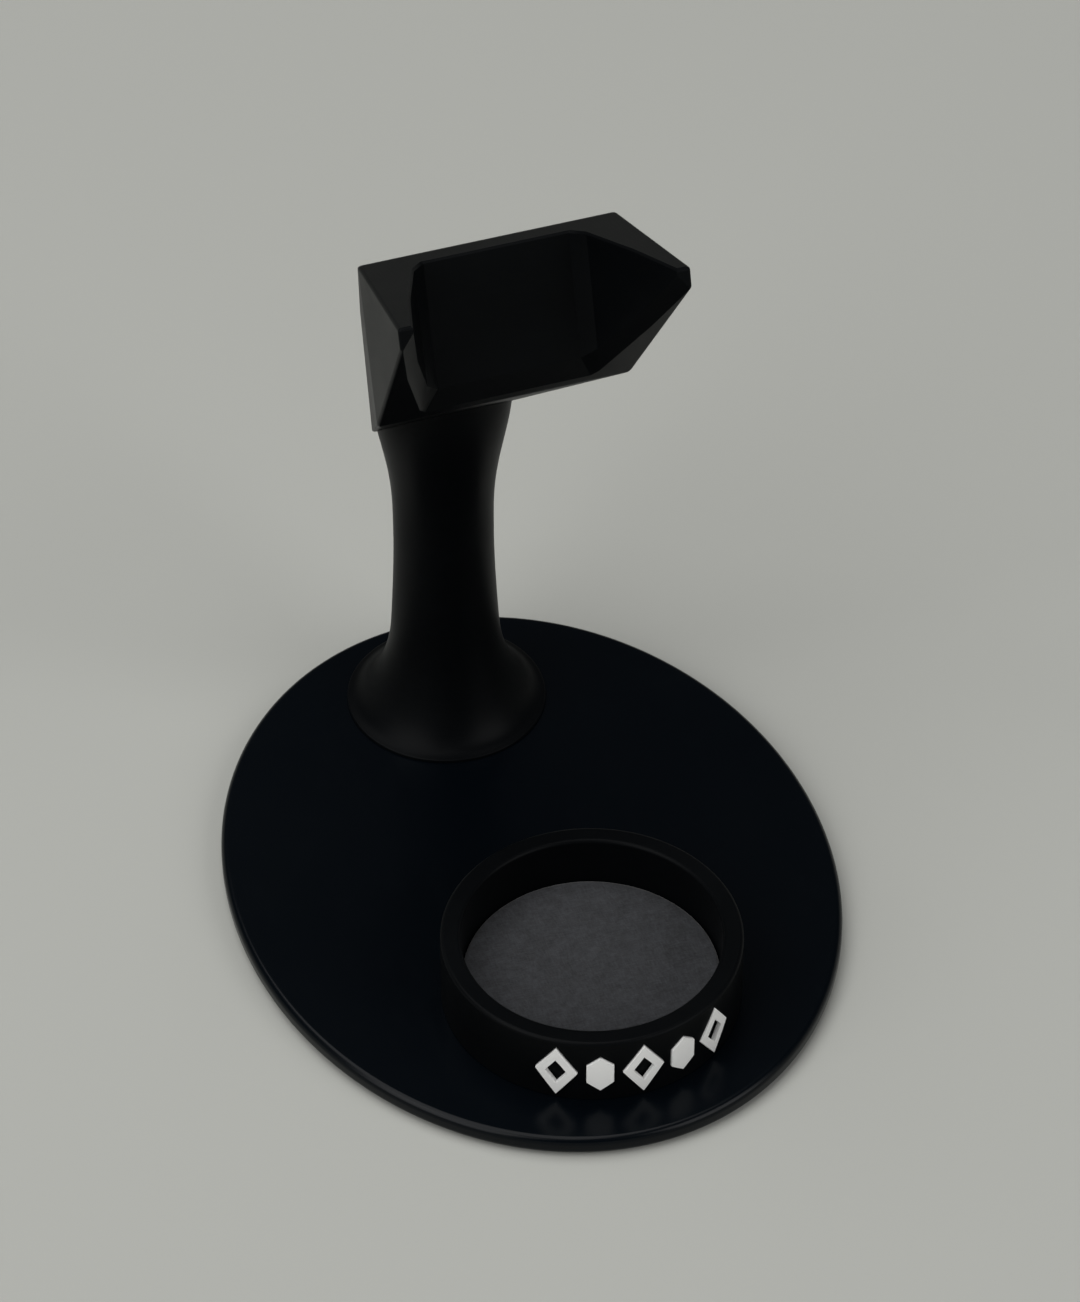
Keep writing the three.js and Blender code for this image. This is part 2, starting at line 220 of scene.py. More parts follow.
def modify(piece: bpy.types.Object, kind: str, **settings: Any) -> None:
    """Gives a piece a modifier and applies it.

    Args:
        piece: The piece.
        kind: The modifier's type.
        settings: What is set on the modifier.
    """
    activate(piece)
    modifier = piece.modifiers.new(kind.lower(), kind)
    for key, setting in settings.items():
        setattr(modifier, key, setting)
    bpy.ops.object.modifier_apply(modifier=modifier.name)


def turned(name: str, outline: Outline, place: Matrix, steps: int) -> bpy.types.Object:
    """Draws a round solid up its outline, ring by ring, as on a lathe.

    Args:
        name: Name of the piece.
        outline: Radius and height of each ring, in order.
        place: Where the axis and its height 0 go.
        steps: Corners of each ring.

    Returns:
        The solid, closed by a flat face in its first and last ring.
    """
    bpy.ops.object.select_all(action="DESELECT")
    first_radius, first_height = outline[0]
    bpy.ops.mesh.primitive_circle_add(
        vertices=steps, radius=first_radius, fill_type="NGON", location=UP * first_height
    )
    piece = settled(name)
    with editing(piece):
        bpy.ops.mesh.select_mode(type="FACE")
        bpy.ops.mesh.select_all(action="SELECT")
        for (radius, height), (next_radius, next_height) in zip(outline, outline[1:]):
            rise = (0, 0, next_height - height)
            bpy.ops.mesh.extrude_region_move(TRANSFORM_OT_translate={"value": rise})
            share = next_radius / radius
            bpy.ops.transform.resize(value=(share, share, 1), center_override=UP * next_height)
        turn_faces()
    piece.data.transform(place)
    return piece


def cylinder(radius: float, low: float, high: float, place: Matrix, steps: int) -> bpy.types.Object:
    """A plain round tool for cutting, from one height to another."""
    return turned("tool", [(radius, low), (radius, high)], place, steps)


def trimmed_block(name: str, centre: Vector, reach: float, cuts: Sequence[Cut]) -> bpy.types.Object:
    """Adds a block and slices off what lies beyond each plane.

    Args:
        name: Name of the piece.
        centre: Middle of the block.
        reach: Length of the block's sides.
        cuts: The planes.

    Returns:
        The closed solid that is left.
    """
    bpy.ops.object.select_all(action="DESELECT")
    bpy.ops.mesh.primitive_cube_add(size=reach, location=centre)
    piece = settled(name)
    with editing(piece):
        for cut in cuts:
            slice_off(cut, FLUSH)
        turn_faces()
    return piece


def join(piece: bpy.types.Object, other: bpy.types.Object, how: Join) -> None:
    """Joins a second solid to a piece and removes it.

    Args:
        piece: The piece that is changed.
        other: The second solid.
        how: Whether it is added, cut away or kept in common.
    """
    modify(piece, "BOOLEAN", object=other, operation=how.value, solver="EXACT")
    bpy.data.objects.remove(other, do_unlink=True)


def cut_pockets(piece: bpy.types.Object, nodes: Sequence[str], steps: int) -> None:
    """Cuts a round pocket for each upright node into the underside of a piece.

    Args:
        piece: The piece.
        nodes: The nodes that the pockets hold.
        steps: Corners of each pocket.
    """
    for room in map(Room.of, nodes):
        tool = cylinder(room.size.x / 2 + GAP, -OVERRUN, room.size.z + GAP, upright(room.foot), steps)
        join(piece, tool, Join.CUT)


def break_edges(piece: bpy.types.Object, width: float, steps: int, least_turn: float) -> None:
    """Rounds the edges at which a piece turns sharply.

    Args:
        piece: The piece.
        width: How far the rounding reaches from an edge.
        steps: Strips across the rounding.
        least_turn: Smallest turn that counts as an edge.
    """
    with editing(piece):
        bpy.ops.mesh.select_mode(type="EDGE")
        bpy.ops.mesh.select_all(action="DESELECT")
        bpy.ops.mesh.edges_select_sharp(sharpness=math.radians(least_turn))
        bpy.ops.mesh.bevel(offset=width, segments=steps, profile=0.5, affect="EDGES", clamp_overlap=True)


def shade(piece: bpy.types.Object, least_turn: float = 32) -> None:
    """Closes a finished shape's seams, then shades round faces smooth and leaves flat faces flat.

    Args:
        piece: The piece.
        least_turn: Turn from which an edge stays sharp.
    """
    with editing(piece):
        bpy.ops.mesh.select_all(action="SELECT")
        bpy.ops.mesh.remove_doubles(threshold=SEAM)
        bpy.ops.mesh.dissolve_degenerate(threshold=SEAM)
        turn_faces()
    bpy.ops.object.shade_smooth_by_angle(angle=math.radians(least_turn))
    modify(piece, "WEIGHTED_NORMAL", keep_sharp=True)


def copied(piece: bpy.types.Object, name: str, move: Matrix) -> bpy.types.Object:
    """Copies a piece, with a mesh of its own, to another place.

    Args:
        piece: The piece that is copied.
        name: Name of the copy.
        move: From the piece's place to the copy's.

    Returns:
        The copy.
    """
    activate(piece)
    bpy.ops.object.duplicate()
    copy = bpy.context.active_object
    copy.name = name
    copy.data.name = name
    copy.data.transform(move)
    return copy


def coat(piece: bpy.types.Object, slot: Slot) -> None:
    """Gives a piece the material of a slot, and no other."""
    piece.data.materials.clear()
    piece.data.materials.append(material_of(slot))


def dress(piece: bpy.types.Object, slot: Slot, node: str) -> None:
    """Gives a finished piece its material and its place in the frame.

    Args:
        piece: The finished piece.
        slot: The record's slot that its finish belongs to.
        node: The node that it stands for.
    """
    coat(piece, slot)
    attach(piece, BODY)
    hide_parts(node)
    log.info("%s stands for %s with %d faces", piece.name, node, len(piece.data.polygons))


def dress_row(first: bpy.types.Object, slot: Slot, names: Sequence[str], nodes: Sequence[str]) -> None:
    """Dresses the first of several like pieces, then copies it to the others' places.

    Args:
        first: The piece that stands for the first node.
        slot: The record's slot that their finish belongs to.
        names: Name of each piece.
        nodes: The node that each piece stands for.
    """
    start = Room.of(nodes[0]).foot
    dress(first, slot, nodes[0])
    for name, node in zip(names[1:], nodes[1:]):
        dress(copied(first, name, upright(Room.of(node).foot - start)), slot, node)


def arc(radius: float, height: float, bend: float, start: float, end: float, steps: int) -> Outline:
    """Points of an outline along a round stretch.

    Args:
        radius: Distance of the bend's centre from the axis.
        height: Height of the bend's centre.
        bend: Radius of the bend.
        start: First angle, from outward towards up.
        end: Last angle.
        steps: Stretches between points.

    Returns:
        Radius and height of each point.
    """
    angles = [math.radians(start + (end - start) * i / steps) for i in range(steps + 1)]
    return [(radius + bend * math.cos(angle), height + bend * math.sin(angle)) for angle in angles]


def upright(point: Vector) -> Matrix:
    """A place with its axis upright, at a point."""
    return Matrix.Translation(point)


def forward_from(point: Vector) -> Matrix:
    """A place whose axis points to the front from a point."""
    return upright(point) @ Matrix.Rotation(math.radians(90), 4, "X")


# Shader maths

class Value:
    """What a shader socket gives, for use in sums."""

    def __init__(self, bench: "ShaderBench", socket: bpy.types.NodeSocket) -> None:
        """Keeps the socket and the bench that it lies on."""
        self.bench = bench
        self.socket = socket

    def _maths(self, operation: str, *values: "Value | float") -> "Value":
        """Adds a Math node that works on the values."""
        return self.bench.node("ShaderNodeMath", {"operation": operation}, dict(enumerate(values)))

    def __add__(self, other: "Value | float") -> "Value":
        """Sum."""
        return self._maths("ADD", self, other)

    def __sub__(self, other: "Value | float") -> "Value":
        """Difference."""
        return self._maths("SUBTRACT", self, other)

    def __rsub__(self, other: float) -> "Value":
        """Difference from a number on the left."""
        return self._maths("SUBTRACT", other, self)

    def __mul__(self, other: "Value | float") -> "Value":
        """Product."""
        return self._maths("MULTIPLY", self, other)

    def sine(self) -> "Value":
        """Sine of the value."""
        return self._maths("SINE", self)

    __radd__ = __add__
    __rmul__ = __mul__


class ShaderBench:
    """The nodes of a material or of the world, with one way to add a node."""

    def __init__(self, owner: bpy.types.Material | bpy.types.World) -> None:
        """Starts with no nodes."""
        self.owner = owner
        owner.use_nodes = True
        self.tree = owner.node_tree
        self.tree.nodes.clear()

    def node(
        self,
        kind: str,
        settings: dict[str, Any] | None = None,
        sockets: Sockets | None = None,
        output: str | int = 0,
    ) -> Value:
        """Adds a node.

        Args:
            kind: The node's type.
            settings: What is set on the node itself, such as its operation or its ramp's stops.
            sockets: Number, colour or value for each socket, by name or index.
            output: The output that is given back.

        Returns:
            What the output gives.
        """
        made = self.tree.nodes.new(kind)
        for key, setting in (settings or {}).items():
            if key == "stops":
                self._set_stops(made.color_ramp, setting)
            else:
                setattr(made, key, setting)
        for key, value in (sockets or {}).items():
            if isinstance(value, Value):
                self.tree.links.new(value.socket, made.inputs[key])
            else:
                made.inputs[key].default_value = value
        return Value(self, made.outputs[output]) if made.outputs else Value(self, made.inputs[0])

    @staticmethod
    def _set_stops(ramp: bpy.types.ColorRamp, stops: Sequence[tuple[float, float]]) -> None:
        """Sets a grey ramp's stops.

        Args:
            ramp: The ramp.
            stops: Place and brightness of each stop.
        """
        while len(ramp.elements) < len(stops):
            ramp.elements.new(1.0)
        for element, (place, grey) in zip(ramp.elements, stops):
            element.position = place
            element.color = (grey, grey, grey, 1)

    def place(self, stretch: tuple[float, float, float] = (1, 1, 1)) -> Value:
        """Object coordinates, multiplied along each axis."""
        coordinates = self.node("ShaderNodeTexCoord", output="Object")
        return self.node("ShaderNodeMapping", {}, {"Vector": coordinates, "Scale": stretch})

    def noise(self, place: Value, scale: float, detail: float, roughness: float) -> Value:
        """Clouds from 0 to 1: so many in a metre, with finer ones added, and how strong those are."""
        sockets = {"Vector": place, "Scale": scale, "Detail": detail, "Roughness": roughness}
        return self.node("ShaderNodeTexNoise", {}, sockets, "Fac")

    def ramp(self, value: Value, *stops: tuple[float, float]) -> Value:
        """A value sent through a grey ramp with the given stops."""
        return self.node("ShaderNodeValToRGB", {"stops": stops}, {"Fac": value})

    def blend(self, share: Value, first: Colour, second: Colour) -> Value:
        """Mixes two colours, with the given share of the second."""
        sockets = {0: share, 6: (*first, 1), 7: (*second, 1)}
        return self.node("ShaderNodeMix", {"data_type": "RGBA"}, sockets, 2)

    def edges(self, reach: float) -> Value:
        """1 on edges that are rubbed and 0 on open faces.

        Args:
            reach: How far from an edge the rubbing reaches.

        Returns:
            The share of rubbing.
        """
        rounded = self.node("ShaderNodeBevel", {"samples": 4}, {"Radius": reach})
        plain = self.node("ShaderNodeNewGeometry", output="Normal")
        alike = self.node(
            "ShaderNodeVectorMath", {"operation": "DOT_PRODUCT"}, {0: rounded, 1: plain}, "Value"
        )
        return self.ramp(1 - alike, (0.01, 0), (0.12, 1))

    def bump(self, height: Value, depth: float, **below: Value) -> Value:
        """Relief of a depth, from a height of 0 to 1, on a coarser Normal where one is given."""
        sockets = {"Height": height, "Distance": depth, "Strength": 1.0, **below}
        return self.node("ShaderNodeBump", {}, sockets)


# Finishes

# Share of the light colour, share of the highest roughness, relief and other sockets
Look = tuple[Value, Value, Value, Sockets]


@dataclass(frozen=True)
class Finish(ABC):
    """What all finishes share: two colours and a range of roughness."""

    dark: Colour
    light: Colour
    roughness: tuple[float, float]

    def material(self, name: str) -> bpy.types.Material:
        """Builds the material.

        Args:
            name: The material's name.

        Returns:
            The material.
        """
        bench = ShaderBench(bpy.data.materials.new(name))
        share, rough, relief, others = self.look(bench)
        low, high = self.roughness
        shader = bench.node("ShaderNodeBsdfPrincipled", {}, {
            "Base Color": bench.blend(share, self.dark, self.light),
            "Roughness": low + (high - low) * rough,
            "Normal": relief,
            **others,
        })
        bench.node("ShaderNodeOutputMaterial", {}, {"Surface": shader})
        return bench.owner

    @abstractmethod
    def look(self, bench: ShaderBench) -> Look:
        """Lays the nodes that the finish is made of."""


@dataclass(frozen=True)
class PrintedPlastic(Finish):
    """Satin plastic laid down in fine level layers, with painted highlight where they stand proud and
    painted shade in the grooves between them, and lighter where it is rubbed.
    """

    roughness: tuple[float, float] = (0.32, 0.46)
    reflection: float = 0.5
    layer: float = 0.2 * MM  # height of a layer
    layer_relief: float = 0.008 * MM
    peel_relief: float = 0.006 * MM
    rub_reach: float = 0.35 * MM

    def look(self, bench: ShaderBench) -> Look:
        """Layers and strands, with orange peel and smudges over them.

        Args:
            bench: Where the nodes are added.

        Returns:
            The look.
        """
        place = bench.place()
        height = bench.node("ShaderNodeSeparateXYZ", {}, {"Vector": place}, "Z")
        layers = (height * (2 * math.pi / self.layer)).sine() * 0.5 + 0.5
        strands = bench.noise(bench.place((9, 9, 2600)), 1, 3, 0.6)
        orange_peel = bench.noise(place, 900, 3, 0.55)
        clouds = bench.noise(place, 22, 4, 0.6)
        smudges = bench.ramp(bench.noise(place, 55, 5, 0.62), (0.42, 0), (0.68, 1))
        rubbed = bench.edges(self.rub_reach) * smudges
        peel = bench.bump(orange_peel, self.peel_relief)
        # layers * 0.1 lightens each layer's crest and darkens the groove between layers: painted
        # highlight and painted shade; rubbed is edge wear
        share = strands * 0.35 + layers * 0.1 + clouds * 0.2 + smudges * 0.15 + rubbed * 0.5
        rough = clouds * 0.55 + strands * 0.3 + smudges * 0.25
        relief = bench.bump(layers * 0.6 + strands * 0.8, self.layer_relief, Normal=peel)
        return share, rough, relief, {"Specular IOR Level": self.reflection}


@dataclass(frozen=True)
class SmoothPlastic(Finish):
    """Satin sheet plastic with a faint grain, lighter where it is rubbed."""

    roughness: tuple[float, float] = (0.2, 0.32)
    reflection: float = 0.13
    grain_relief: float = 0.004 * MM
    rub_reach: float = 0.5 * MM

    def look(self, bench: ShaderBench) -> Look:
        """Grain and clouds, rubbed along the sheet and at its edges.

        Args:
            bench: Where the nodes are added.

        Returns:
            The look.
        """
        place = bench.place()
        grain = bench.noise(place, 1500, 3, 0.6)
        clouds = bench.noise(place, 16, 4, 0.6)
        rubbing = bench.ramp(bench.noise(bench.place((1, 0.35, 1)), 120, 5, 0.7), (0.55, 0), (0.8, 1))
        share = clouds * 0.4 + rubbing * 0.2 + grain * 0.15 + bench.edges(self.rub_reach) * 0.4
        relief = bench.bump(grain * 0.7 + clouds * 0.3, self.grain_relief)
        return share, clouds * 0.75 + rubbing * 0.35, relief, {"Specular IOR Level": self.reflection}


@dataclass(frozen=True)
class NeedledFelt(Finish):
    """Short fibres pressed into a disc, with painted shade between them."""

    roughness: tuple[float, float] = (0.9, 0.98)
    depth: float = 0.12 * MM  # height of the fibres

    def look(self, bench: ShaderBench) -> Look:
        """Fibres that run both ways, in tufts.

        Args:
            bench: Where the nodes are added.

        Returns:
            The look.
        """
        ways = [bench.noise(bench.place(way), 2600, 4, 0.7) for way in ((1, 0.22, 1), (0.22, 1, 1))]
        tufts = bench.noise(bench.place(), 320, 3, 0.6)
        fibres = ways[0] * 0.5 + ways[1] * 0.5
        # darker where the fibres lie low: painted shade between the fibres, along with the fibres' own
        # mottled tone
        tone_and_painted_shade = bench.ramp(fibres * 0.75 + tufts * 0.25, (0.38, 0), (0.62, 1))
        relief = bench.bump(fibres * 0.6 + tufts * 0.4, self.depth)
        return tone_and_painted_shade, tufts, relief, {"Sheen Weight": 0.25, "Sheen Roughness": 0.5}


@dataclass(frozen=True)
class MouldedRubber(Finish):
    """Matt rubber with a fine spark-eroded skin, lighter where dust lies on it."""

    roughness: tuple[float, float] = (0.72, 0.92)
    depth: float = 0.02 * MM  # of the skin

    def look(self, bench: ShaderBench) -> Look:
        """Skin and dust.

        Args:
            bench: Where the nodes are added.

        Returns:
            The look.
        """
        place = bench.place()
        skin = bench.noise(place, 2200, 3, 0.6)
        dust = bench.ramp(bench.noise(place, 240, 5, 0.7), (0.5, 0), (0.75, 1))
        return dust * 0.6 + skin * 0.2, skin, bench.bump(skin, self.depth), {}


@dataclass(frozen=True)
class TurnedMetal(Finish):
    """Plated or turned metal with fine marks, with painted shade in the marks."""

    roughness: tuple[float, float] = (0.24, 0.42)
    depth: float = 0.006 * MM  # of the marks

    def look(self, bench: ShaderBench) -> Look:
        """Fine marks and stains.

        Args:
            bench: Where the nodes are added.

        Returns:
            The look.
        """
        marks = bench.noise(bench.place((1, 1, 0.12)), 5200, 3, 0.6)
        stains = bench.noise(bench.place(), 500, 4, 0.6)
        # the colour darkens where the marks lie low: painted shade in the marks, along with the stains'
        # own tone
        share, rough = stains * 0.5 + marks * 0.5, marks * 0.6 + stains * 0.4
        return share, rough, bench.bump(marks, self.depth), {"Metallic": 1.0}


FINISHES: dict[Slot, Finish] = {
    Slot.PLATE: SmoothPlastic((0.0005, 0.0014, 0.0026), (0.0017, 0.0031, 0.0048)),
    Slot.PRINT: PrintedPlastic((0.0008, 0.0011, 0.0014), (0.0035, 0.0041, 0.0048), reflection=0.045),
    Slot.MARK: PrintedPlastic((0.90, 0.90, 0.89), (0.95, 0.95, 0.94), (0.4, 0.55), 0.4),
    Slot.FELT: NeedledFelt((0.005, 0.0055, 0.007), (0.034, 0.036, 0.041)),
    Slot.RUBBER: MouldedRubber((0.008, 0.008, 0.009), (0.03, 0.03, 0.031)),
    Slot.STEEL: TurnedMetal((0.36, 0.37, 0.39), (0.60, 0.61, 0.63)),
    Slot.BRASS: TurnedMetal((0.52, 0.34, 0.12), (0.80, 0.60, 0.28)),
}


@cache
def material_of(slot: Slot) -> bpy.types.Material:
    """The slot's material, built when it is first asked for."""
    return FINISHES[slot].material(slot.value)


# Base plate, feet and screws

@dataclass
class BasePlate:
    """The oval plate, with rounded edges, screw holes and foot recesses."""

    rim: float = 1.6 * MM  # rounding of the upper and lower edge
    rim_steps: int = 8
    rim_turn: float = 60  # the rims turn more sharply than this, the oval's side less
    steps: int = 256  # corners of the oval
    recess_steps: int = 48
    room: Room = field(default_factory=lambda: Room.of("base_plate"))

    def build(self) -> None:
        """Models the plate, a disc stretched to an oval, and dresses it."""
        bpy.ops.object.select_all(action="DESELECT")
        bpy.ops.mesh.primitive_cylinder_add(
            vertices=self.steps, radius=0.5, depth=1, location=self.room.centre, scale=self.room.size
        )
        plate = settled("oval_plate")
        break_edges(plate, self.rim, self.rim_steps, self.rim_turn)
        cut_pockets(plate, numbered("rubber_foot", FEET), self.recess_steps)
        for fixing in FIXINGS_FROM_BELOW:
            for node in fixing.nodes:
                join(plate, fixing.hole(node), Join.CUT)
        shade(plate)
        dress(plate, Slot.PLATE, "base_plate")


@dataclass
class RubberFeet:
    """Four rubber discs that stand on the table."""

    edge: float = 0.6 * MM  # rounding of the lower edge
    edge_steps: int = 5
    dimple: float = 3.6 * MM  # radius of the shallow dimple in the underside
    dimple_depth: float = 0.25 * MM
    steps: int = 64  # corners of each disc

    def build(self) -> None:
        """Models one foot, copies it to the others' places and dresses all four."""
        nodes = numbered("rubber_foot", FEET)
        names = numbered("rubber_disc", FEET)
        room = Room.of(nodes[0])
        radius = room.size.x / 2
        outline = [(self.dimple - self.dimple_depth, self.dimple_depth), (self.dimple, 0)]
        outline += arc(radius - self.edge, self.edge, self.edge, -90, 0, self.edge_steps)
        outline.append((radius, room.size.z))
        first = turned(names[0], outline, upright(room.foot), self.steps)
        shade(first)
        dress_row(first, Slot.RUBBER, names, nodes)


@dataclass(frozen=True)
class ScrewJoint:
    """Countersunk screws with a hexagon socket, and the holes that they sit in."""

    nodes: Sequence[str]
    shank: float  # radius of the shank
    socket: float  # radius of the socket over its corners
    socket_depth: float
    edge: float = 0.12 * MM  # broken edges of the head and the socket
    steps: int = 48  # corners of each ring
    socket_sides: int = 6
    least_turn: float = 25  # from which an edge stays sharp

    @property
    def head(self) -> float:
        """Radius of the head."""
        return Room.of(self.nodes[0]).size.x / 2

    @property
    def length(self) -> float:
        """Length from the head to the tip."""
        return max(Room.of(self.nodes[0]).size)

    @staticmethod
    def _place(node: str) -> Matrix:
        """Middle of the head, with the axis along the shank.

        Args:
            node: The screw's node.

        Returns:
            The place.
        """
        room = Room.of(node)
        if room.size.y > room.size.z:
            return forward_from(Vector((room.centre.x, room.high.y, room.centre.z)))
        return upright(room.foot)

    def hole(self, node: str) -> bpy.types.Object:
        """The tool that cuts a screw's hole.

        Args:
            node: The screw's node.

        Returns:
            The tool.
        """
        head, bore = self.head + GAP, self.shank + GAP
        outline = [(head, -OVERRUN), (head, 0), (bore, head - bore), (bore, self.length)]
        return turned("tool", outline, self._place(node), self.steps)

    def build(self) -> None:
        """Models the first screw, copies it to the others' places and dresses them all."""
        names = [node.replace("screw", "bolt") for node in self.nodes]
        head, length, place = self.head, self.length, self._place(self.nodes[0])
        first = turned(names[0], [
            (head - self.edge, 0),
            (head, self.edge),
            (head, 2 * self.edge),
            (self.shank, head - self.shank + self.edge),
            (self.shank, length - self.shank / 2),
            (self.shank / 2, length),
        ], place, self.steps)
        socket = turned("tool", [
            (self.socket + self.edge, -OVERRUN),
            (self.socket + self.edge, 0),
            (self.socket, self.edge),
            (self.socket, self.socket_depth),
            (self.socket / 3, self.socket_depth + self.socket / 3),
        ], place, self.socket_sides)
        join(first, socket, Join.CUT)
        shade(first, self.least_turn)
        dress_row(first, Slot.STEEL, names, self.nodes)


CUP_FIXING = ScrewJoint(numbered("cup_screw", SCREWS), 1.35 * MM, 1.15 * MM, 1 * MM)
POST_FIXING = ScrewJoint(numbered("post_screw", SCREWS), 1.85 * MM, 1.45 * MM, 1.3 * MM)
CRADLE_FIXING = ScrewJoint(["cradle_screw"], 1.85 * MM, 1.45 * MM, 1.3 * MM)
FIXINGS_FROM_BELOW = (CUP_FIXING, POST_FIXING)


class Fasteners:
    """All screws and threaded inserts."""

    def build(self) -> None:
        """Models the screws and coats the inserts, which stay as the frame has them."""
        for fixing in (*FIXINGS_FROM_BELOW, CRADLE_FIXING):
            fixing.build()
        for node in ("cradle_insert", *numbered("cup_insert", SCREWS), *numbered("post_insert", SCREWS)):
            coat(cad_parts[node], Slot.BRASS)
            log.info("%s keeps its shape", node)


# Cup, pad and marks

class MarkForm(Enum):
    """Forms of the white marks, which take turns in this order."""

    LOZENGE = 0
    GEM = 1


@dataclass
class Cup:
    """The round cup and the white marks let into its front."""

    wall: float = 4.6 * MM
    floor: float = 4 * MM
    lip: float = 0.9 * MM  # rounding of the rim
    lip_steps: int = 7
    fillet: float = 0.5 * MM  # between the wall and the floor
    fillet_steps: int = 4
    foot_edge: float = 0.25 * MM
    steps: int = 224  # corners round the cup
    mark_count: int = 5
    mark_pitch: float = 16.5  # turn from one mark to the next
    mark_depth: float = 0.8 * MM  # how deep a mark is let in
    mark_proud: float = 0.35 * MM  # how far a mark stands out
    mark_height: float = 8.3 * MM  # of the marks' middle over the cup's foot
    mark_edge: float = 0.12 * MM
    mark_edge_steps: int = 2
    mark_edge_turn: float = 40
    lozenge: tuple[float, float] = (9.4 * MM, 14 * MM)  # width and height
    lozenge_stroke: float = 1.9 * MM  # width of its line
    gem: tuple[float, float] = (6 * MM, 10 * MM)  # width and height
    gem_side_share: float = 0.5  # of a gem's height, along its straight sides
    room: Room = field(default_factory=lambda: Room.of("butt_cup"))

    @property
    def radius(self) -> float:
        """Outer radius of the cup."""
        return self.room.size.x / 2

    def build(self) -> None:
        """Models the cup, then a pocket and a mark for each place round its front."""
        cup = turned("handle_cup", self._outline(), upright(self.room.foot), self.steps)
        patterns = [(self._pocket(form), self._mark(form)) for form in MarkForm]
        for number in range(self.mark_count):
            pocket, mark = patterns[number % len(patterns)]
            turn = self._turn(number)
            join(cup, copied(pocket, "tool", turn), Join.CUT)
            name = f"white_mark_{number + 1}"
            dress(copied(mark, name, turn), Slot.MARK, f"cup_mark_{number + 1}")
        for pattern in sum(patterns, ()):
            bpy.data.objects.remove(pattern, do_unlink=True)
        cut_pockets(cup, numbered("cup_insert", SCREWS), INSERT_STEPS)
        shade(cup)
        dress(cup, Slot.PRINT, "butt_cup")

    def _outline(self) -> Outline:
        """Outline of the cup: up the outside, over the lip and down to the floor.

        Returns:
            Radius and height of each ring.
        """
        height = self.room.size.z
        inner = self.radius - self.wall
        outline = [(self.radius - self.foot_edge, 0), (self.radius, self.foot_edge)]
        outline += arc(self.radius - self.lip, height - self.lip, self.lip, 0, 90, self.lip_steps)
        outline += arc(inner + self.lip, height - self.lip, self.lip, 90, 180, self.lip_steps)
        fillet = self.fillet
        outline += arc(inner - fillet, self.floor + fillet, fillet, 0, -90, self.fillet_steps)
        return outline

    def _core(self, under: float) -> bpy.types.Object:
        """A round tool whose surface lies the given depth under the cup's."""
        top = self.room.size.z + OVERRUN
        return cylinder(self.radius - under, -OVERRUN, top, upright(self.room.foot), self.steps)

    def _turn(self, number: int) -> Matrix:
        """Turn round the cup from its front to a mark's place.

        Args:
            number: The mark, counted from 0 at the left.

        Returns:
            The turn.
        """
        angle = math.radians(self.mark_pitch * (number - (self.mark_count - 1) / 2))
        centre = upright(self.room.foot)
        return centre @ Matrix.Rotation(angle, 4, "Z") @ centre.inverted()

    def _corners(self, form: MarkForm, grown: float) -> Outline:
        """Corners of a mark as seen from the front, with its sides moved out.

        Args:
            form: Form of the mark.
            grown: How far the sides are moved out.

        Returns:
            Across and up from the mark's middle.
        """
        if form is MarkForm.LOZENGE:
            half, rise = self.lozenge[0] / 2, self.lozenge[1] / 2
            side = math.hypot(half, rise)
            across, up = half + grown * side / rise, rise + grown * side / half
            return [(across, 0), (0, up), (-across, 0), (0, -up)]
        half, rise = self.gem[0] / 2, self.gem[1] / 2
        slant = rise - rise * self.gem_side_share
        across, up = half + grown, rise + grown * math.hypot(half, slant) / half
        corner = up - across * slant / half
        right = [(across, -corner), (across, corner), (0, up)]
        return right + [(-x, -z) for x, z in right]

    def _stem(self, form: MarkForm, grown: float) -> bpy.types.Object:
        """A mark's outline drawn through the cup's front wall.

        Args:
            form: Form of the mark.
            grown: How far its sides are moved out.

        Returns:
            The solid.
        """
        middle = self.room.foot + UP * self.mark_height + FRONT * self.radius
        corners = [middle + Vector((across, 0, up)) for across, up in self._corners(form, grown)]
        cuts = [
            Cut.through(middle, corner, following, corner + FRONT)
            for corner, following in zip(corners, corners[1:] + corners[:1])
        ]
        return trimmed_block("tool", middle, self.radius, cuts)

    def _pocket(self, form: MarkForm) -> bpy.types.Object:
        """The tool that cuts a mark's pocket at the cup's front.

        Args:
            form: Form of the mark.

        Returns:
            The tool.
        """
        pocket = self._stem(form, GAP)
        join(pocket, self._core(self.mark_depth + GAP), Join.CUT)
        return pocket

    def _mark(self, form: MarkForm) -> bpy.types.Object:
        """Models a mark, bent to the wall, at the cup's front.

        Args:
            form: Form of the mark.

        Returns:
            The mark.
        """
        mark = self._stem(form, 0)
        if form is MarkForm.LOZENGE:
            join(mark, self._stem(form, -self.lozenge_stroke), Join.CUT)
        join(mark, self._core(-self.mark_proud), Join.KEEP)
        join(mark, self._core(self.mark_depth), Join.CUT)
        break_edges(mark, self.mark_edge, self.mark_edge_steps, self.mark_edge_turn)
        shade(mark)
        return mark


